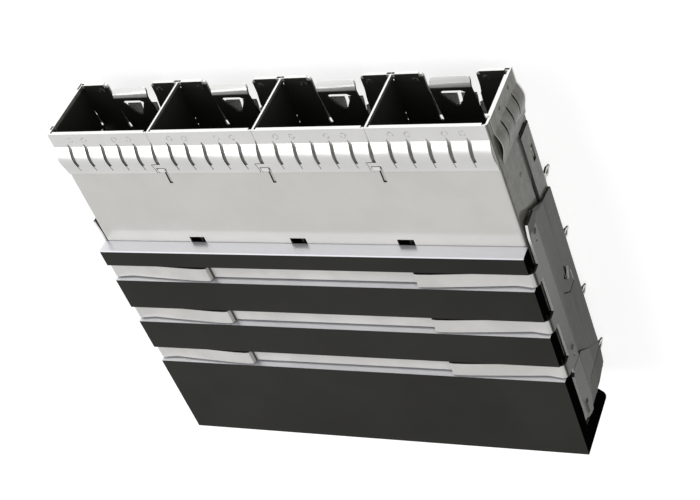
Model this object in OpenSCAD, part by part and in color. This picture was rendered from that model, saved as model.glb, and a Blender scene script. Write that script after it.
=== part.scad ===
// Ganged cage for small form-factor pluggable modules: a folded cover and base, sheet dividers
// between the ports, EMI spring strips round the mouth, a riding heat sink and its strap clip.
// Millimetres. X runs across the ports, Y from the port mouths to the rear, Z up from the board.
// The origin is on the board plane, midway between the mouth and the rear wall.

/* [Cage] */
// Distance from one port to the next
port_pitch = 14.25; // [13.9:0.05:15]
// Height of the folded box above the board
cage_height = 9.5; // [9.2:0.1:11]
// Depth of the folded box, mouth to rear wall
cage_depth = 48.8; // [47:0.1:56]
// Thickness of the folded sheet and of the dividers
sheet = 0.25; // [0.2:0.01:0.3]
// Outer radius of the folded corners
bend_radius = 0.45; // [0.35:0.05:0.6]
// Height of the base's upturned side flange
flange_height = 3.2; // [2.8:0.1:3.4]
// Distance from the mouth to the front end of the side flange
flange_front = 7.3; // [7.1:0.1:8]

/* [Board side] */
// Distance from the mouth to the first row of press-fit pins
pin_front = 16.2; // [14.5:0.1:17]
// Length of a pin below the board plane
pin_length = 2.3; // [1.8:0.1:3]
// Width of a pin across its sprung eye
pin_width = 1.04; // [0.9:0.02:1.2]
// Width of the connector opening under each port
connector_width = 11.2; // [9:0.1:12]
// Length of the connector opening under each port
connector_length = 11; // [8:0.1:12]

/* [Latch tongues] */
// Width of a latch tongue
tongue_width = 5; // [4.4:0.1:5.2]
// Distance from the mouth to the root of a tongue
tongue_root = 6.8; // [6:0.1:7.2]
// Rise of a tongue's front end above the base
tongue_rise = 0.8; // [0.7:0.05:1]
// Width of the triangular latch hole
latch_width = 3.1; // [2.4:0.1:3.4]
// Length of the triangular latch hole
latch_length = 2.4; // [1.8:0.1:2.8]

/* [EMI springs] */
// Thickness of the spring strips
spring_sheet = 0.12; // [0.08:0.01:0.15]
// Width of the flat welded flange of a strip
spring_flange = 1.9; // [1.7:0.1:2.2]
// Distance from the mouth to the rear edge of a strip
spring_reach = 6.3; // [5.8:0.1:6.4]
// Height of the bulge of the fingers
spring_bulge = 0.5; // [0.3:0.05:0.7]
// Width of the slots between fingers
spring_slot = 0.46; // [0.25:0.01:0.5]

/* [Heat sink] */
// Distance from the mouth to the heat sink's front face
sink_front = 17.95; // [17.5:0.05:18.5]
// Thickness of the heat sink above the cover
sink_thickness = 2; // [1.8:0.1:4]
// Clearance from the rear wall to the heat sink's leg
leg_clearance = 0.5; // [0.3:0.1:1]
// Thickness of the heat sink's leg
leg_thickness = 3.4; // [2.5:0.1:4]
// Height of the leg's lower end above the board
leg_bottom = 1.9; // [1:0.1:3]
// Width of a pedestal that reaches down into a port
pedestal_width = 9.6; // [8:0.1:10]
// Distance that a pedestal reaches below the cover's top face
pedestal_reach = 1; // [0.5:0.05:1]

/* [Clip] */
// Thickness of the clip sheet
clip_sheet = 0.3; // [0.2:0.01:0.32]
// Width of a strap across the heat sink
strap_width = 2.1; // [1.8:0.05:2.3]
// Width of a strap groove in the heat sink
groove_width = 2.75; // [2.6:0.05:3]
// Depth of a strap groove
groove_depth = 1.2; // [1.1:0.05:1.3]
// Distance from the heat sink's front face to the first groove
groove_first = 2.55; // [2.2:0.05:3]
// Step that each strap takes up off the groove floor beyond its middle part
strap_step = 0.8; // [0.4:0.05:0.85]

/* [Hidden] */
ports = 4;
seam = 0.04;                                     // half the gap between neighbouring strips
play = 0.05;                                     // clearance of tabs and pins in their slots
half_in = (ports * port_pitch - sheet) / 2;      // inner face of the side walls
half_wall = half_in + sheet;                     // outer face of the side walls
half_flange = half_wall + sheet;                 // outer face of the side flanges
ceiling = cage_height - sheet;
flange_end = cage_depth - 3.4;
pin_step = (cage_depth - 2.7 - pin_front) / 3;
pin_rows = [for (i = [0:3]) pin_front + i * pin_step];
port_x = [for (i = [0:ports - 1]) (i - (ports - 1) / 2) * port_pitch];
divider_x = [for (i = [1:ports - 1]) (i - ports / 2) * port_pitch];

tab_y = spring_reach - 0.85;                     // front end of the dividers' top tab, in its notch
tab_slot_end = tab_y + 2.55;
bent_width = 0.55;                               // width of the tab's bent front end
tab_reach = 0.8;                                 // how far it is bent over to one side
lip_round = 0.45;                                // rounded front corners of the lips between tongues
rim_gap = 0.5;                                   // from a divider to the rim returns beside it
rear_slot = [17.1, 19.6];                        // second slot row, half under the heat sink
spring_pitch = port_pitch / 6;
spring_jog = 1.15;                               // sideways jog of the seam between two strips
side_pitch = (cage_height - 0.7) / 4;

window = [3.4, 24.4];                            // pedestal window, from the heat sink's front
sink_half = half_wall + 0.1;
sink_top = cage_height + sink_thickness;
sink_rear = cage_depth + leg_clearance + leg_thickness;
groove_floor = sink_top - groove_depth;
grooves = [for (d = [0, 7.8, 15.65]) sink_front + groove_first + d];

// Clip: the plate's upper part stands off the wall, its waist lies on the wall and its skirt lies
// on the base flange.
upper_in = half_flange;
upper_out = upper_in + clip_sheet;
waist_out = half_wall + clip_sheet;
skirt_out = half_flange + clip_sheet;
plate_top = cage_height - 0.3;
crease_z = plate_top - 2.6;
skirt_z = 0.4;
rear_in = half_flange + 0.03;
rear_out = rear_in + clip_sheet;
clip_front = sink_front - 3.1;
clip_rear = cage_depth - 0.2;
strap_bend = 0.75;
strap_z = groove_floor + 0.4;                    // underside of the straps next to the plates
flare = 6;                                       // angle that the plates' front ends stand out by

steel = [0.80, 0.80, 0.79];
spring_steel = [0.86, 0.86, 0.84];
black = [0.10, 0.10, 0.10];

// ---- helpers -------------------------------------------------------------------------------

module block(a, b) translate(a) cube(b - a);

// outline given as [y, z], swept along X
module sweep_x(x0, x1, outline)
    translate([x0, 0, 0]) rotate([90, 0, 90]) linear_extrude(x1 - x0) polygon(outline);

// outline given as [x, z], swept along Y
module sweep_y(y0, y1, outline)
    translate([0, y1, 0]) rotate([90, 0, 0]) linear_extrude(y1 - y0) polygon(outline);

// outline given as [x, y], swept along Z
module sweep_z(z0, z1, outline)
    translate([0, 0, z0]) linear_extrude(z1 - z0) polygon(outline);

module both_sides() { children(); mirror([1, 0, 0]) children(); }

module seated() translate([0, -cage_depth / 2, 0]) children();

function arc(c, r, a0, a1, n = 6) =
    [for (i = [0:n]) let (a = a0 + (a1 - a0) * i / n) c + r * [cos(a), sin(a)]];

function reversed(p) = [for (i = [len(p) - 1:-1:0]) p[i]];
function mirrored(p) = [for (i = [len(p) - 1:-1:0]) [-p[i][0], p[i][1]]];

// a thin cut along a line of points
module slit_x(x0, x1, path, w) for (i = [0:len(path) - 2]) let (
        d = path[i + 1] - path[i], n = [-d[1], d[0]] * w / 2 / norm(d), e = d * w / 2 / norm(d))
    sweep_x(x0, x1, [path[i] - n - e, path[i + 1] - n + e, path[i + 1] + n + e, path[i] + n - e]);

// ---- folded box ----------------------------------------------------------------------------

function cover_outside() = let (r = bend_radius, right = concat(
        arc([half_wall - r, cage_height - r], r, 90, 0), [[half_wall, sheet]]))
    concat(mirrored(right), right);

function cover_inside() = let (r = bend_radius - sheet, right = concat(
        arc([half_in - r, ceiling - r], r, 90, 0), [[half_in, sheet]]))
    reversed(concat(mirrored(right), right));

module cover_shell() {
    sweep_y(0, cage_depth, concat(cover_outside(), cover_inside()));
    sweep_y(cage_depth - sheet, cage_depth, cover_outside());
}

// press-fit pin with a sprung eye, in the plane of its sheet
module pin(x, y, root) {
    w = pin_width / 2;
    tip = -pin_length;
    neck = tip * 0.2;
    right = [[0.08, tip], [0.22, tip * 0.85], [w, tip * 0.6], [w, tip * 0.42], [w * 0.6, neck],
             [w, neck + 0.15], [w, root]];
    eye = [[0, tip * 0.72], [w * 0.4, tip * 0.58], [w * 0.4, tip * 0.42], [0, tip * 0.28]];
    translate([x, y, 0]) difference() {
        sweep_x(-sheet / 2, sheet / 2, concat(right, mirrored(right)));
        sweep_x(-sheet, sheet, concat(eye, mirrored(eye)));
    }
}

module side_pins() for (y = pin_rows) pin(half_in + sheet / 2, y, sheet + 0.3);

// wedge lanced out of the side wall, that snaps into the base flange
module wall_hook(y) sweep_z(1.1, 1.6, [[half_wall - 0.05, y], [half_wall + sheet * 0.7, y + 0.2],
                                       [half_wall + sheet * 0.7, y + 1.2], [half_wall - 0.05, y + 1.3]]);

module wall_dimple(y, z) translate([half_wall - 0.01, y, z]) rotate([0, 90, 0])
    cylinder(h = 0.13, r1 = 0.45, r2 = 0.2, $fn = 32);

module cage_cover() color(steel) seated() {
    difference() {
        union() {
            cover_shell();
            both_sides() {
                side_pins();
                wall_hook(10.3);
                wall_dimple(10.7, 5.4);
            }
        }
        // windows for the heat sink's pedestals
        for (x = port_x) block([x - pedestal_width / 2 - 0.3, sink_front + window[0], ceiling - 1],
                               [x + pedestal_width / 2 + 0.3, sink_front + window[1], cage_height + 1]);
        // slots for the dividers' tabs
        for (x = divider_x) {
            block([x - sheet / 2 - 0.1, tab_y - play, ceiling - 1],
                  [x + sheet / 2 + 0.1, tab_slot_end, cage_height + 1]);
            block([x - 0.65, rear_slot[0], ceiling - 1], [x + 1.5, rear_slot[1], cage_height + 1]);
        }
        both_sides() {
            // gap ahead of the base flange, and relief above it
            block([half_in - 1, flange_front - 0.5, 0.5], [half_wall + 1, flange_front - 0.05, 3]);
            sweep_x(half_in - 1, half_wall + 1, [[13, flange_height - 0.1], [17.3, flange_height - 0.1],
                [17.3, flange_height + 0.45], [14.2, flange_height + 0.45], [13, flange_height + 0.1]]);
            // hole behind the clip's latch
            block([half_in - 1, 27.6, 2.2], [half_wall + 1, 29.8, 3]);
        }
    }
}

// ---- base with its latch tongues -----------------------------------------------------------

function base_outside() = let (r = bend_radius, right = concat(
        [[half_flange, flange_height]], arc([half_flange - r, r], r, 0, -90)))
    concat(right, mirrored(right));

function base_inside() = [[-half_wall, flange_height], [-half_wall, sheet], [half_wall, sheet],
                          [half_wall, flange_height]];

// opening round one tongue: a U of two slots, open at the mouth
module tongue_slots() {
    w = tongue_width / 2;
    half = concat([[w + 0.7 + lip_round, -1]], arc([w + 0.7 + lip_round, lip_round], lip_round, 270, 180),
                  [[w + 0.7, 2], [w + 0.5, 3.6]],
                  arc([w + 0.25, tongue_root - 0.1], 0.25, 0, 180));
    sweep_z(-1, 1, concat(half, mirrored(half)));
}

// the sprung tongue: it rises from its root, then ramps down at its free end
module tongue() {
    w = tongue_width / 2;
    r = tongue_rise;
    tip = 0.35;
    back = tongue_root + 0.3;
    top = [[back, sheet], [tongue_root, sheet], [1.75, sheet + r], [1.4, sheet + r - 0.02],
           [0.9, sheet + r - 0.2], [tip, sheet + r - 0.55]];
    under = [[tip + 0.1, r - 0.53], [1.0, r - 0.2], [1.5, r - 0.02], [1.75, r], [tongue_root - 0.05, 0],
             [back, 0]];
    plan = concat(arc([w - 0.55, tip + 0.55], 0.55, 270, 360), [[w, back + 0.1]]);
    difference() {
        intersection() {
            sweep_x(-w, w, concat(top, under));
            sweep_z(-1, 3, concat(plan, mirrored(plan)));
        }
        sweep_z(-1, 3, [[-latch_width / 2, 2.3], [-latch_width * 0.35, 2.0], [latch_width * 0.35, 2.0],
                        [latch_width / 2, 2.3], [0.3, 2.1 + latch_length], [-0.3, 2.1 + latch_length]]);
    }
}

module cage_base() color(steel) seated() {
    difference() {
        union() {
            sweep_y(flange_front, flange_end, concat(base_outside(), base_inside()));
            block([-half_wall, 0, 0], [half_wall, flange_front, sheet]);
            block([-half_wall, flange_end, 0], [half_wall, cage_depth, sheet]);
        }
        for (x = port_x) {
            translate([x, 0, 0]) tongue_slots();
            block([x - connector_width / 2, cage_depth - 2.3 - connector_length, -1],
                  [x + connector_width / 2, cage_depth - 2.3, 1]);
        }
        for (x = divider_x) {
            block([x - sheet / 2 - 0.1, 0.65, -1], [x + sheet / 2 + 0.1, 1.05, sheet + 0.01]);
            block([x - sheet / 2 - play, tab_y + 0.1, -1],
                  [x + sheet / 2 + play, tab_y + 1.5, sheet + 0.01]);
            for (y = pin_rows) block([x - sheet / 2 - play, y - pin_width / 2 - play, -1],
                                     [x + sheet / 2 + play, y + pin_width / 2 + play, sheet + 0.01]);
        }
        both_sides() {
            for (y = pin_rows) block([half_in - play, y - pin_width / 2 - play, -1],
                                     [half_wall + play, y + pin_width / 2 + play, sheet + 0.01]);
            // relief ahead of the flange
            sweep_z(-1, sheet + 0.01, [[half_in, 4], [half_wall + 1, 4],
                [half_wall + 1, flange_front - 0.7], [half_in - 0.2, flange_front - 0.7],
                [half_in - 0.2, 5.9]]);
            block([half_wall - play, 9.9, 1], [half_flange + 1, 12.1, 1.8]);
            block([half_wall - play, 27.6, 2.2], [half_flange + 1, 29.8, 3]);
        }
    }
    for (x = port_x) translate([x, 0, 0]) tongue();
}

// ---- dividers ------------------------------------------------------------------------------

module divider(i) color(steel) seated() translate([divider_x[i - 1], 0, 0]) {
    block([-sheet / 2, 0, sheet], [sheet / 2, cage_depth - sheet, ceiling]);
    // tab in the cover's slot, its front end bent over
    block([-sheet / 2, tab_y, ceiling - 0.1], [sheet / 2, tab_slot_end - 0.1, cage_height - 0.15]);
    block([-sheet / 2, tab_y, ceiling - 0.1], [sheet / 2, tab_y + bent_width, cage_height + sheet]);
    block([-sheet / 2, tab_y, cage_height], [tab_reach, tab_y + bent_width, cage_height + sheet]);
    // tab through the base
    block([-sheet / 2, tab_y + 0.5, 0], [sheet / 2, tab_y + 1.1, sheet + 0.1]);
    for (y = pin_rows) pin(0, y, sheet + 0.3);
}

module divider_1() divider(1);
module divider_2() divider(2);
module divider_3() divider(3);

// ---- EMI spring strips ---------------------------------------------------------------------

// cross-section of a strip as [distance from the mouth, height off its wall]: a flange round the
// rim, then a bulge that comes back down to the wall
function bulge(u, peak = 0.42) = spring_bulge *
    (u < peak ? sin(90 * u / peak) : (1 + cos(180 * (u - peak) / (1 - peak))) / 2);
function strip_section(y0, y1, n = 10) = concat(
    [[-spring_sheet, 0], [-spring_sheet, spring_sheet]],
    [for (i = [0:n]) [y0 + (y1 - y0) * i / n, spring_sheet + bulge(i / n)]],
    [for (i = [n:-1:0]) [y0 + (y1 - y0) * i / n, bulge(i / n)]]);

// slot between two fingers, along Y: one edge is straight, the other steps back to a slit at
// both ends
module finger_slot(y0, y1) {
    w = spring_slot / 2;
    sweep_z(-1, 2, [[w, y0], [w, y1], [w - 0.1, y1], [w - 0.1, y1 - 0.85], [-w, y1 - 1],
                    [-w, y0 + 0.6], [w - 0.1, y0]]);
}

// flat strip lying on the plane z = 0, fingers up; jogs shift its rear end at each side
module strip(x0, x1, y0, y1, slots, jog0 = 0, jog1 = 0) difference() {
    intersection() {
        sweep_x(min(x0, x0 + jog0), max(x1, x1 + jog1), strip_section(y0, y1));
        sweep_z(-1, 2, [[x0, -1], [x1, -1], [x1, y1 - 1.75], [x1 + jog1, y1 - 1.65], [x1 + jog1, y1 + 1],
                        [x0 + jog0, y1 + 1], [x0 + jog0, y1 - 1.75], [x0, y1 - 1.85]]);
    }
    for (x = slots) translate([x, 0, 0]) finger_slot(y0 - 0.4, y1 - 0.6);
}

// widening of the seam between two strips where it passes between their fingers
module seam_slot(y0, y1) sweep_z(-1, 2, [[-0.04, y0 - 0.4], [0.04, y0 - 0.4],
    [spring_slot / 2, y0 + 0.3], [spring_slot / 2 + 0.1, y1 - 1.7], [-0.12, y1 - 1.7],
    [-spring_slot / 2, y0 + 1.2]]);

// return of the strip round the rim, from x0 to x1
module rim_return(x0, x1) {
    block([x0, -spring_sheet, -sheet - spring_sheet], [x1, 0, 0.01]);
    block([x0, -spring_sheet, -sheet - spring_sheet], [x1, 1, -sheet]);
}

module port_strip(i) {
    left = i == 1 ? 0.15 - half_wall : port_x[i - 1] - port_pitch / 2 + seam;
    right = i == ports ? half_wall - 0.15 : port_x[i - 1] + port_pitch / 2 - seam;
    difference() {
        strip(left, right, spring_flange, spring_reach,
              [for (k = [-2:2]) port_x[i - 1] + k * spring_pitch],
              i == 1 ? 0 : spring_jog, i == ports ? 0 : spring_jog);
        // notch round the bent tab of each divider
        for (x = divider_x) {
            block([x - 0.35, tab_y - 0.12, -1], [x + tab_reach + 0.12, spring_reach + 1, 2]);
            translate([x, 0, 0]) seam_slot(spring_flange, spring_reach);
        }
    }
}

module top_spring(i) color(spring_steel) seated() translate([0, 0, cage_height]) {
    port_strip(i);
    rim_return(port_x[i - 1] - port_pitch / 2 + rim_gap, port_x[i - 1] + port_pitch / 2 - rim_gap);
}

module bottom_spring(i) color(spring_steel) seated() mirror([0, 0, 1]) {
    notch = tongue_width / 2 + 0.7;
    round = notch + lip_round;
    half = concat([[round, -1]], arc([round, lip_round], lip_round, 270, 180), [[notch, 3.6]]);
    difference() {
        port_strip(i);
        translate([port_x[i - 1], 0, 0]) sweep_z(-1, 2, concat(half, mirrored(half)));
        // slot in front of each divider's lower tab
        for (x = divider_x) block([x - sheet / 2 - 0.1, 0.6, -1], [x + sheet / 2 + 0.1, 1.1, 2]);
    }
    side = port_pitch / 2 - rim_gap;
    for (ends = [[-side, -round], [round, side]]) translate([port_x[i - 1], 0, 0])
        rim_return(ends[0], ends[1]);
}

module side_spring() color(spring_steel) seated() translate([half_wall, 0, -0.3]) rotate([0, 90, 0]) {
    length = side_pitch * 4;
    strip(-length, 0, spring_flange + 0.1, spring_reach, [for (k = [1:3]) -k * side_pitch]);
    rim_return(-length + 0.5, -1.4);
}

module side_spring_right() side_spring();
module side_spring_left() mirror([1, 0, 0]) side_spring();

module top_spring_1() top_spring(1);
module top_spring_2() top_spring(2);
module top_spring_3() top_spring(3);
module top_spring_4() top_spring(4);
module bottom_spring_1() bottom_spring(1);
module bottom_spring_2() bottom_spring(2);
module bottom_spring_3() bottom_spring(3);
module bottom_spring_4() bottom_spring(4);

// ---- heat sink -----------------------------------------------------------------------------

module heat_sink() color(black) seated() {
    leg = cage_depth + leg_clearance;
    edge = 0.12;
    sweep_x(-sink_half, sink_half, concat(
        [[sink_front, cage_height], [sink_front, sink_top - edge], [sink_front + edge, sink_top]],
        [for (y = grooves) for (p = [[0, sink_top], [0, groove_floor],
            [groove_width, groove_floor], [groove_width, sink_top]]) [y + p[0], p[1]]],
        [[sink_rear, sink_top], [sink_rear, leg_bottom + 0.25], [sink_rear - 0.25, leg_bottom],
         [leg + leg_thickness * 0.65, leg_bottom + 0.3], [leg, leg_bottom + 1.6], [leg, cage_height]]));
    a = sink_front + window[0] + 0.3;
    b = sink_front + window[1] - 0.3;
    foot = cage_height - pedestal_reach;
    for (x = port_x) sweep_x(x - pedestal_width / 2, x + pedestal_width / 2,
        [[a, cage_height + 0.1], [a, foot + 0.45], [a + 1, foot], [b - 0.4, foot], [b, foot + 0.4],
         [b, cage_height + 0.1]]);
}

// ---- clip ----------------------------------------------------------------------------------

// one face of half a strap, from the middle out and down into the plate: t above its underside
function strap_half(t) = let (
        mid = port_pitch, r = strap_bend - clip_sheet + t, c = upper_out - strap_bend,
        floor = groove_floor + t, high = floor + strap_step)
    concat([[mid - 0.8 * t, floor], [mid + 0.2 - 0.6 * t, high - 0.08], [mid + 0.7 - 0.4 * t, high],
            [mid + 2.2, high - 0.03], [mid + 8.5, floor + 0.4], [c - 2, floor + 0.15]],
           arc([c, strap_z + clip_sheet - strap_bend], r, 90, 0), [[c + r, plate_top - 1]]);
function strap_face(t) = concat(mirrored(strap_half(t)), strap_half(t));

module strap(y) {
    sweep_y(y, y + strap_width, concat(strap_face(clip_sheet), reversed(strap_face(0))));
    both_sides() {
        strap_fillet(y, 1);
        strap_fillet(y + strap_width, -1);
    }
}

// fillet between a strap and the plate's top edge
module strap_fillet(y, s) let (r = 0.3, turn = s > 0 ? [0, -90] : [180, 270])
    sweep_x(upper_in, upper_out, concat([[y, plate_top - 0.1]],
        arc([y - s * r, plate_top + r], r, turn[0], turn[1]), [[y - s * r, plate_top - 0.1]]));

// section of the plate as [x, z]: upper part, waist against the wall, skirt on the base flange
function plate_section() = [
    [upper_out, plate_top], [upper_out, crease_z], [waist_out, crease_z - 0.2], [waist_out, 5.55],
    [skirt_out, 3.55], [skirt_out, skirt_z], [half_flange, skirt_z], [half_flange, 3.5],
    [half_wall, 5.5], [half_wall, crease_z + 0.05], [upper_in, crease_z + 0.25], [upper_in, plate_top]];

module plate_part(y0, y1) intersection() {
    sweep_y(y0, y1, plate_section());
    sweep_x(half_in, upper_out + 1, [
        [clip_front + 2.35, 0], [clip_front + 1.65, 3.6], [clip_front, 6.8], [clip_front, plate_top],
        [clip_rear - 8.7, plate_top], [clip_rear - 8.7, 6], [clip_rear - 6.8, 3.8],
        [clip_rear - 5, 1.2], [clip_rear - 4, 0]]);
}

// its front end stands out from the wall a little
module plate_front() {
    bend = clip_front + 1.9;
    plate_part(bend, clip_rear);
    translate([half_wall, bend, 0]) rotate([0, 0, flare]) translate([-half_wall, -bend, 0])
        plate_part(clip_front, bend + 0.01);
}

// flat rear end of the plate; its lower rear corner is bent in towards the cage
module plate_rear() {
    bend = [[clip_rear - 4, skirt_z], [clip_rear - 3.7, 5.9]];
    corner = [[clip_rear - 1, skirt_z], [clip_rear - 0.1, 3], [clip_rear, 7.4]];
    top = plate_top + 0.5;
    sweep_x(rear_in, rear_out, [
        [clip_rear - 9.3, plate_top], [clip_rear - 9.2, 6], [clip_rear - 7.3, 3.8],
        [clip_rear - 5.5, 1.2], [clip_rear - 4.6, skirt_z], bend[0], bend[1], corner[2],
        [clip_rear - 0.15, top - 1.4], [clip_rear - 0.6, top - 0.5], [clip_rear - 1.1, top],
        [clip_rear - 8.6, top], [clip_rear - 8.9, plate_top]]);
    translate([rear_in, bend[0][1] + clip_rear - 4, 0]) rotate([0, 0, 4])
        translate([-rear_in, -bend[0][1] - clip_rear + 4, 0])
            sweep_x(rear_in, rear_out, [bend[0] - [0.1, 0], bend[1] - [0.1, 0], corner[2],
                                        corner[1], corner[0]]);
}

module plate_dimple(x, y, z) translate([x - 0.05, y, z]) rotate([0, 90, 0])
    cylinder(h = 0.25, r1 = 0.5, r2 = 0.22, $fn = 32);

// long rib embossed along Y, tapered all round
module plate_rib(x, y0, y1, z) intersection() {
    sweep_y(y0, y1, [[x - 0.05, z - 0.5], [x + 0.2, z - 0.22], [x + 0.2, z + 0.22], [x - 0.05, z + 0.5]]);
    sweep_z(z - 1, z + 1, [[x - 0.06, y0], [x + 0.21, y0 + 0.4], [x + 0.21, y1 - 0.4], [x - 0.06, y1]]);
}

module plate() {
    difference() {
        union() {
            plate_front();
            plate_rear();
        }
        // latch tongue with its window, cut free on three sides
        sweep_x(half_in, 40, [[27.2, 3.4], [28.5, 2.1], [29.9, 2.95], [28.7, 4.15]]);
        slit_x(half_in, 40, [[29.4, 1.85], [31.2, 1.8], [31.3, 3.7], [30.3, 4.9]], 0.16);
        slit_x(half_in, 40, [[clip_front + 0.6, crease_z - 0.1],
                             [clip_front + 1.8, crease_z - 0.1]], 0.2);
        for (y = [clip_front + 3.4, clip_rear - 10.8])
            block([upper_in - 1, y, plate_top - 1.65], [upper_out + 1, y + 0.45, plate_top - 1.3]);
    }
    plate_dimple(upper_out, clip_front + 2.5, plate_top - 1.7);
    plate_dimple(upper_out, clip_rear - 11.8, plate_top - 1.6);
    plate_rib(rear_out, clip_rear - 3.2, clip_rear - 0.95, plate_top - 0.6);
}

module heat_sink_clip() color(steel) seated() {
    for (y = grooves) strap(y + groove_width - strap_width - 0.2);
    both_sides() plate();
}

// ---- assembly ------------------------------------------------------------------------------

cage_cover();
cage_base();
divider_1();
divider_2();
divider_3();
top_spring_1();
top_spring_2();
top_spring_3();
top_spring_4();
bottom_spring_1();
bottom_spring_2();
bottom_spring_3();
bottom_spring_4();
side_spring_left();
side_spring_right();
heat_sink();
heat_sink_clip();
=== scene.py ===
import math

import bpy
from mathutils import Matrix, Vector

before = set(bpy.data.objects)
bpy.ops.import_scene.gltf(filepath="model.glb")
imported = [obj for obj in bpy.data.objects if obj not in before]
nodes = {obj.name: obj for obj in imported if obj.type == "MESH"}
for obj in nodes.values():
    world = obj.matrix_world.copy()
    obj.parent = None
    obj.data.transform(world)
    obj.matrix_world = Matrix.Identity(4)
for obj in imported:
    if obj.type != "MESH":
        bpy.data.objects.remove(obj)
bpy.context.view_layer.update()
MM = 0.001

# ---- sizes of the object that the materials refer to (metres, the CAD's own values) -------------
DEPTH = 48.8 * MM                 # mouth to rear wall
MOUTH = -DEPTH / 2                # Y of the mouth
HEIGHT = 9.5 * MM                 # height of the folded box
SHEET = 0.25 * MM
PITCH = 14.25 * MM                # port to port
HALF_WALL = (4 * PITCH + SHEET) / 2
SINK_TOP = 11.5 * MM
PIN_TIP = -2.3 * MM
CREASE = 6.6 * MM                 # crease along the clip's side plates
SKIRT = 3.5 * MM                  # top of the clip plates' skirts
WELD_LINE = MOUTH + 0.85 * MM     # Y of the spot welds on the top and bottom flanges
WELD_OFFSETS = (2.2 * MM, 4.25 * MM)      # from each divider
SIDE_WELD_LINE = MOUTH + 0.8 * MM
SIDE_WELD_HEIGHTS = (2.25 * MM, 5.7 * MM)
STRAP_STEP = PITCH + 0.8 * MM     # |X| up to which the straps' folds reach
SIDE_ZONE = HALF_WALL - 2 * MM    # |X| beyond which a steep face belongs to a side

# ---- other settings -----------------------------------------------------------------------------
SMOOTH_ANGLE = math.radians(19)   # bends flatter than this are shaded smooth
FLOOR_SIZE = 4.0
FLOOR_GREY = 0.42
FLOOR_GLOW = 0.78                 # added light of the floor where it is seen or mirrored
WORLD_LIGHT = 0.46


# ---- small node-tree helpers --------------------------------------------------------------------
class Tree:
    """A material's node tree, with each maths step as one call."""

    def __init__(self, name):
        self.mat = bpy.data.materials.new(name)
        self.mat.use_nodes = True
        self.tree = self.mat.node_tree
        self.tree.nodes.clear()
        self.out = self.tree.nodes.new("ShaderNodeOutputMaterial")
        self.coord = self.tree.nodes.new("ShaderNodeTexCoord")
        split = self.node("ShaderNodeSeparateXYZ")
        self.link(self.coord.outputs["Object"], split.inputs[0])
        self.x, self.y, self.z = split.outputs
        facing = self.node("ShaderNodeSeparateXYZ")
        self.link(self.coord.outputs["Normal"], facing.inputs[0])
        self.nx, self.ny, self.nz = facing.outputs

    def node(self, kind, **settings):
        n = self.tree.nodes.new(kind)
        for k, v in settings.items():
            setattr(n, k, v)
        return n

    def link(self, a, b):
        self.tree.links.new(a, b)

    def put(self, socket, value):
        if isinstance(value, bpy.types.NodeSocket):
            self.link(value, socket)
        else:
            socket.default_value = value

    def math(self, op, a, b=0.0, c=0.0):
        n = self.node("ShaderNodeMath", operation=op)
        for s, v in zip(n.inputs, (a, b, c)):
            self.put(s, v)
        return n.outputs[0]

    def add(self, a, b):
        return self.math("ADD", a, b)

    def sub(self, a, b):
        return self.math("SUBTRACT", a, b)

    def mul(self, a, b):
        return self.math("MULTIPLY", a, b)

    def most(self, first, *others):
        for other in others:
            first = self.math("MAXIMUM", first, other)
        return first

    def absolute(self, a):
        return self.math("ABSOLUTE", a)

    def ramp(self, value, low, high):
        """0 at low, 1 at high, smooth between; low may be above high."""
        n = self.node("ShaderNodeMapRange", interpolation_type="SMOOTHSTEP", clamp=True)
        self.put(n.inputs["Value"], value)
        n.inputs["From Min"].default_value = min(low, high)
        n.inputs["From Max"].default_value = max(low, high)
        n.inputs["To Min"].default_value = 0.0 if low < high else 1.0
        n.inputs["To Max"].default_value = 1.0 if low < high else 0.0
        return n.outputs[0]

    def noise(self, scale, detail=3.0, roughness=0.5, stretch=(1, 1, 1), seed=0.0):
        mapping = self.node("ShaderNodeMapping")
        self.link(self.coord.outputs["Object"], mapping.inputs["Vector"])
        mapping.inputs["Scale"].default_value = stretch
        mapping.inputs["Location"].default_value = (seed, seed * 0.7, seed * 0.3)
        n = self.node("ShaderNodeTexNoise")
        self.link(mapping.outputs[0], n.inputs["Vector"])
        n.inputs["Scale"].default_value = scale
        n.inputs["Detail"].default_value = detail
        n.inputs["Roughness"].default_value = roughness
        return n.outputs[0]

    def mix(self, factor, a, b):
        n = self.node("ShaderNodeMix", data_type="RGBA")
        self.put(n.inputs[0], factor)
        self.put(n.inputs[6], a)
        self.put(n.inputs[7], b)
        return n.outputs[2]

    def blend(self, factor, a, b):
        n = self.node("ShaderNodeMix", data_type="FLOAT")
        self.put(n.inputs[0], factor)
        self.put(n.inputs[2], a)
        self.put(n.inputs[3], b)
        return n.outputs[0]

    def bump(self, height, strength, distance):
        n = self.node("ShaderNodeBump")
        n.inputs["Strength"].default_value = strength
        n.inputs["Distance"].default_value = distance
        self.link(height, n.inputs["Height"])
        return n.outputs[0]

    def surface(self, **values):
        n = self.node("ShaderNodeBsdfPrincipled")
        for k, v in values.items():
            self.put(n.inputs[k.replace("_", " ")], v)
        self.link(n.outputs[0], self.out.inputs[0])
        return self.mat


def rgb(r, g, b):
    return (r, g, b, 1.0)


# ---- materials ----------------------------------------------------------------------------------
def front_highlight(t):
    """1 on edges and ramps at the mouth that face out of it, where a highlight is painted on."""
    return t.mul(t.ramp(t.ny, -0.12, -0.3), t.ramp(t.y, MOUTH + 1.6 * MM, MOUTH + 1.4 * MM))


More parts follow.
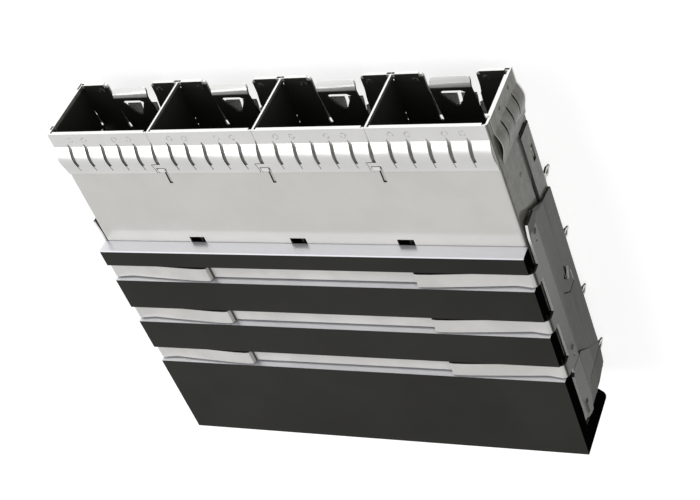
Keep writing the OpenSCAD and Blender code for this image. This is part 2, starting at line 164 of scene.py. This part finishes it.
def inside_shade(t):
    """1 on faces that lie inside the ports, behind the bright rim and the tongues' front ramps,
    where shade is painted in.
    """
    edge = 0.06 * MM
    # on the tongues' ramps the dark begins 1.1 mm further in
    ramps = t.mul(t.ramp(t.nz, 0.2, 0.5), t.ramp(t.z, 0.40 * MM, 0.45 * MM))
    depth = t.sub(t.y, t.mul(ramps, 1.1 * MM))
    parts = [
        t.ramp(t.z, HEIGHT - SHEET + edge, HEIGHT - SHEET + edge / 2),
        t.ramp(t.absolute(t.x), HALF_WALL - SHEET + edge, HALF_WALL - SHEET + edge / 2),
        t.ramp(depth, MOUTH + 0.25 * MM, MOUTH + 0.5 * MM),
        t.ramp(t.z, SHEET - edge, SHEET - edge / 2),
    ]
    mask = parts[0]
    for p in parts[1:]:
        mask = t.mul(mask, p)
    mask = t.mul(mask, t.sub(1.0, front_highlight(t)))
    # painted shade also on cut ends of the sheet in gaps and windows behind the mouth
    cut = t.mul(t.ramp(t.absolute(t.ny), 0.8, 0.9), t.ramp(t.y, MOUTH + 0.5 * MM, MOUTH + MM))
    return t.most(mask, t.mul(cut, t.ramp(t.y, -MOUTH - 0.1 * MM, -MOUTH - 0.3 * MM)))


def weld_marks(t):
    """Worn rings of spot welds on the flanges round the mouth, four to a port."""
    across = t.math("PINGPONG", t.add(t.x, 2 * PITCH), PITCH / 2)
    total = None
    for offset in WELD_OFFSETS:
        dx = t.sub(t.sub(PITCH / 2, across), offset)
        dy = t.sub(t.y, WELD_LINE)
        r = t.math("SQRT", t.add(t.mul(dx, dx), t.mul(dy, dy)))
        ring = t.mul(t.ramp(r, 0.18 * MM, 0.32 * MM), t.ramp(r, 0.48 * MM, 0.34 * MM))
        total = ring if total is None else t.add(total, ring)
    return t.mul(total, t.ramp(t.noise(2600, 2, 0.5, (1, 1, 1), 3.0), 0.38, 0.6))


def cut_edge_shade(t):
    """1 on the side walls' level cut faces, such as the base flange's top edge and window edges,
    where shade is painted in.
    """
    level = t.mul(t.ramp(t.absolute(t.nz), 0.7, 0.8),
                  t.ramp(t.absolute(t.x), HALF_WALL - SHEET * 1.6, HALF_WALL - SHEET * 1.4))
    return t.mul(level, t.mul(t.ramp(t.z, 0.6 * MM, 0.8 * MM), t.ramp(t.z, 8.8 * MM, 8.6 * MM)))


def sunk_tab_shade(t):
    """1 on the top of the dividers' tabs, just below the cover's outer face, where a light shade is
    painted in.
    """
    above = t.ramp(t.z, HEIGHT - 0.25 * MM, HEIGHT - 0.2 * MM)
    return t.mul(above, t.ramp(t.z, HEIGHT - 0.05 * MM, HEIGHT - 0.1 * MM))


def side_welds(t):
    """Two small dark spot-weld marks on the flange of each side strip."""
    total = None
    for height in SIDE_WELD_HEIGHTS:
        dy = t.sub(t.y, SIDE_WELD_LINE)
        dz = t.sub(t.z, height)
        r = t.math("SQRT", t.add(t.mul(dy, dy), t.mul(dz, dz)))
        spot = t.ramp(r, 0.34 * MM, 0.16 * MM)
        total = spot if total is None else t.add(total, spot)
    return t.mul(t.mul(total, 0.7), t.ramp(t.absolute(t.nx), 0.6, 0.8))


def sheet_metal(name, base, tint, rough, side_shade_tone, painted_shade, painted_highlight, welds=False,
                grain=(1, 0.03, 1), metal=0.3, side_from=0.0):
    """Rolled sheet: base and tint in soft clouds, fine grain, and darker sides where shade is
    painted.

    The shade mask and the highlight mask (the two mask arguments) give where shade and where a
    highlight are painted into the colour. Steep faces count as sides from |X| = side_from on.
    """
    t = Tree(name)
    streak = t.noise(9000, 4, 0.6, grain)
    cloud = t.noise(180, 3, 0.55, (1, 1, 1), 2.0)
    color = t.mix(t.ramp(cloud, 0.35, 0.65), base, tint)
    roughness = t.add(rough, t.mul(t.sub(streak, 0.5), 0.12))
    height = t.mul(streak, 0.5)
    # painted shade: steep faces at the sides take a darker, mottled tone than the top; the pins
    # below the board do not
    side_shade = t.mul(t.ramp(t.absolute(t.nx), 0.55, 0.8), t.ramp(t.z, -0.1 * MM, 0.0))
    if side_from:
        side_shade = t.mul(side_shade, t.ramp(t.absolute(t.x), side_from, side_from + MM))
    mottle = t.ramp(t.noise(1100, 5, 0.7, (1, 0.6, 1), 7.0), 0.3, 0.7)
    side_shade_color = t.mix(mottle, rgb(*(0.75 * c for c in side_shade_tone)), rgb(*(1.25 * c for c in side_shade_tone)))
    color = t.mix(side_shade, color, side_shade_color)
    # edges that face straight out of the mouth mirror the floor
    mouth_edge = t.mul(front_highlight(t), t.ramp(t.ny, -0.7, -0.85))
    metallic = t.blend(mouth_edge, t.blend(side_shade, metal, 0.05), 0.95)
    # painted highlight: where the highlight mask is, the colour turns near-white
    color = t.mix(painted_highlight(t), color, rgb(1.0, 1.0, 0.985))
    # painted shade: where the shade mask is, the colour turns near-black, matt and not metallic
    dark = painted_shade(t)
    color = t.mix(dark, color, rgb(0.028, 0.028, 0.025))
    roughness = t.blend(dark, roughness, 0.6)
    metallic = t.blend(dark, metallic, 0.0)
    if welds:
        ring = weld_marks(t)
        color = t.mix(t.mul(ring, 0.55), color, rgb(0.30, 0.29, 0.27))
        height = t.sub(height, t.mul(ring, 2.0))
    return t.surface(Base_Color=color, Metallic=metallic, Roughness=roughness,
                     Specular_IOR_Level=0.2, Normal=t.bump(height, 0.12, 0.01 * MM))


def clip_shade(t):
    """Painted shade on the clip's front edges, the straps' folds, the crease and the bent corner,
    and a little more shade towards the plates' rear ends."""
    front = t.ramp(t.ny, -0.6, -0.75)
    fold = t.mul(t.ramp(t.absolute(t.nx), 0.5, 0.7),
                 t.ramp(t.absolute(t.x), STRAP_STEP, STRAP_STEP - 0.2 * MM))
    fold = t.mul(fold, t.blend(t.ramp(t.z, SINK_TOP - 0.75 * MM, SINK_TOP - 0.5 * MM), 0.95, 0.15))
    off = t.absolute(t.sub(t.z, CREASE))
    crease = t.mul(t.ramp(off, 0.11 * MM, 0.04 * MM), t.ramp(t.absolute(t.nx), 0.55, 0.75))
    plate = t.ramp(t.absolute(t.nx), 0.9, 0.97)
    corner = t.mul(t.ramp(t.ny, 0.03, 0.06), plate)
    rear = t.mul(t.ramp(t.y, -4 * MM, 12 * MM), plate)
    return t.most(front, fold, t.mul(crease, 0.75), t.mul(corner, 0.7), t.mul(rear, 0.35))


def clip_highlight(t):
    """Painted highlight on the plates' top edges, and a little on the plates above their skirts."""
    top = t.mul(t.ramp(t.nz, 0.7, 0.8), t.ramp(t.z, HEIGHT - 0.1 * MM, HEIGHT - 0.2 * MM))
    plate = t.mul(t.ramp(t.z, SKIRT, SKIRT + 0.1 * MM), t.ramp(t.absolute(t.nx), 0.9, 0.97))
    upper = t.ramp(t.z, CREASE - 0.1 * MM, CREASE + 0.1 * MM)
    return t.most(top, t.mul(plate, t.blend(upper, 0.06, 0.145)))


def cage_highlight(t):
    """Painted highlight on the front edges, and on the dividers' bent tabs, which stand up above
    the cover.
    """
    return t.most(front_highlight(t), t.ramp(t.z, HEIGHT + 0.1 * MM, HEIGHT + 0.15 * MM))


def anodised(name):
    """Black anodised metal, with the faces that look towards the mouth left bare and painted shade
    on the sides.
    """
    t = Tree(name)
    fine = t.noise(5000, 3, 0.6, (0.08, 1, 1))
    cloud = t.noise(60, 3, 0.5, (1, 1, 1), 5.0)
    black = t.mix(t.ramp(cloud, 0.3, 0.7), rgb(0.017, 0.0165, 0.0145), rgb(0.025, 0.0245, 0.021))
    # the bare faces are milled, pale and faintly violet, and mirror the sheet in front of them
    bare = t.ramp(t.ny, -0.6, -0.68)
    # painted shade: faces towards the sides are near-black, with no specular
    side_shade = t.ramp(t.absolute(t.nx), 0.6, 0.8)
    color = t.mix(side_shade, black, rgb(0.002, 0.002, 0.002))
    color = t.mix(bare, color, rgb(0.86, 0.865, 0.91))
    # dark joint line at the foot of the front face
    foot = t.mul(bare, t.ramp(t.z, HEIGHT + 0.10 * MM, HEIGHT + 0.05 * MM))
    color = t.mix(t.mul(foot, 0.8), color, rgb(0.10, 0.10, 0.11))
    return t.surface(Base_Color=color, Metallic=t.blend(bare, 0.0, 0.6),
                     Roughness=t.blend(bare, t.add(0.42, t.mul(fine, 0.1)), 0.3),
                     Specular_IOR_Level=t.blend(bare, t.blend(side_shade, 0.2, 0.0), 0.5),
                     Normal=t.bump(fine, 0.08, 0.01 * MM))


def cage_shade(t):
    """Painted shade: dark insides of the ports, dark cut edges and, less dark, the tabs sunk in
    their slots.
    """
    return t.most(inside_shade(t), t.mul(cut_edge_shade(t), 0.9), t.mul(sunk_tab_shade(t), 0.2))


def strip_shade_and_welds(t):
    """Painted shade on the rim insides, the hollows of the side strips' fingers and the inner faces
    of the bottom strips' flanges, and the side strips' small dark weld marks."""
    outward = t.math("SIGN", t.x)
    under = t.mul(t.ramp(t.mul(t.nx, outward), -0.3, -0.5),
                  t.ramp(t.y, MOUTH + 1.2 * MM, MOUTH + 1.6 * MM))
    inner = t.mul(t.ramp(t.nz, 0.6, 0.8), t.ramp(t.z, 1.0 * MM, 0.6 * MM))
    inner = t.mul(inner, t.ramp(t.y, MOUTH + 1.9 * MM, MOUTH + 1.7 * MM))
    return t.most(inside_shade(t), under, inner, side_welds(t))


# the dark tuple given to each sheet is the tone of its painted side shade
STEEL = sheet_metal("rolled_sheet", rgb(0.82, 0.81, 0.78), rgb(0.785, 0.775, 0.745), 0.19,
                    (0.18, 0.179, 0.155), cage_shade, cage_highlight, metal=0.4)
SPRING = sheet_metal("spring_strip", rgb(0.88, 0.875, 0.86), rgb(0.84, 0.835, 0.82), 0.30,
                     (0.235, 0.232, 0.205), strip_shade_and_welds, front_highlight, welds=True,
                     side_from=SIDE_ZONE)
CLIP = sheet_metal("stamped_strip", rgb(0.80, 0.79, 0.765), rgb(0.72, 0.71, 0.685), 0.32,
                   (0.038, 0.038, 0.030), clip_shade, clip_highlight, grain=(0.03, 1, 1),
                   side_from=SIDE_ZONE)
BLACK = anodised("black_anodised")


def look_of(name):
    if "spring" in name:
        return SPRING
    if name == "heat_sink":
        return BLACK
    return CLIP if name == "heat_sink_clip" else STEEL


def shade_smooth(node):
    """Shade bends and bulges smooth and keep edges sharp; flat faces keep their own normals."""
    normals = node.data.attributes.get("custom_normal")
    if normals:
        node.data.attributes.remove(normals)
    for polygon in node.data.polygons:
        polygon.use_smooth = True
    node.modifiers.new("join_faces", "WELD").merge_threshold = 0.001 * MM
    node.modifiers.new("sharp_edges", "EDGE_SPLIT").split_angle = SMOOTH_ANGLE
    node.modifiers.new("flat_faces", "WEIGHTED_NORMAL").weight = 90


for name, node in nodes.items():
    node.data.materials.clear()
    node.data.materials.append(look_of(name))
    shade_smooth(node)


# ---- floor, world, lights -----------------------------------------------------------------------
def floor():
    """Pale floor under the pins: white where it is seen or mirrored, and it keeps the shadow."""
    bpy.ops.mesh.primitive_plane_add(size=FLOOR_SIZE, location=(0, 0, PIN_TIP))
    plane = bpy.context.active_object
    plane.name = "floor"
    t = Tree("pale_floor")
    diffuse = t.node("ShaderNodeBsdfDiffuse")
    diffuse.inputs["Color"].default_value = rgb(FLOOR_GREY, FLOOR_GREY, FLOOR_GREY)
    glow = t.node("ShaderNodeEmission")
    glow.inputs["Color"].default_value = rgb(1, 1, 1)
    rays = t.node("ShaderNodeLightPath")
    seen = t.most(rays.outputs["Is Camera Ray"], rays.outputs["Is Glossy Ray"],
                  rays.outputs["Is Transmission Ray"])
    t.link(t.mul(seen, FLOOR_GLOW), glow.inputs["Strength"])
    both = t.node("ShaderNodeAddShader")
    t.link(diffuse.outputs[0], both.inputs[0])
    t.link(glow.outputs[0], both.inputs[1])
    t.link(both.outputs[0], t.out.inputs[0])
    plane.data.materials.append(t.mat)


def area_light(name, place, size, power):
    """Round soft lamp, in metres and watts, aimed at the middle of the object."""
    data = bpy.data.lights.new(name, "AREA")
    data.shape = "DISK"
    data.size = size
    data.energy = power
    lamp = bpy.data.objects.new(name, data)
    bpy.context.collection.objects.link(lamp)
    lamp.location = place
    lamp.rotation_euler = (-Vector(place)).to_track_quat("-Z", "Y").to_euler()


floor()
area_light("key", (0.40, 0.02, 0.65), 0.38, 1.5)
area_light("front", (0.66, -0.44, 0.36), 1.15, 2.6)
area_light("left", (-0.50, -0.10, 0.50), 0.30, 0.5)

world = bpy.data.worlds.new("studio")
bpy.context.scene.world = world
world.use_nodes = True
sky = world.node_tree.nodes["Background"]
sky.inputs["Color"].default_value = rgb(1, 1, 1)
sky.inputs["Strength"].default_value = WORLD_LIGHT

# ---- camera: from in front, above and to the left, turned nearly upside down --------------------
# place, directions and lens come from the fit of the camera to the photo
PLACE = Vector((-91.85, -127.17, 129.68)) * MM
FORWARD = Vector((0.44854, 0.63598, -0.62796))
UP = Vector((0.01541, -0.70800, -0.70604))
LENS = 82.61                      # millimetres, for a sensor 36 mm wide
camera = bpy.data.objects.new("camera", bpy.data.cameras.new("camera"))
bpy.context.collection.objects.link(camera)
right = FORWARD.cross(UP).normalized()
up = right.cross(FORWARD).normalized()
turn = Matrix((right, up, -FORWARD.normalized())).transposed().to_4x4()
camera.matrix_world = Matrix.Translation(PLACE) @ turn
camera.data.lens = LENS
camera.data.sensor_width = 36
camera.data.clip_start = 0.005

scene = bpy.context.scene
scene.camera = camera
scene.view_settings.view_transform = "Standard"
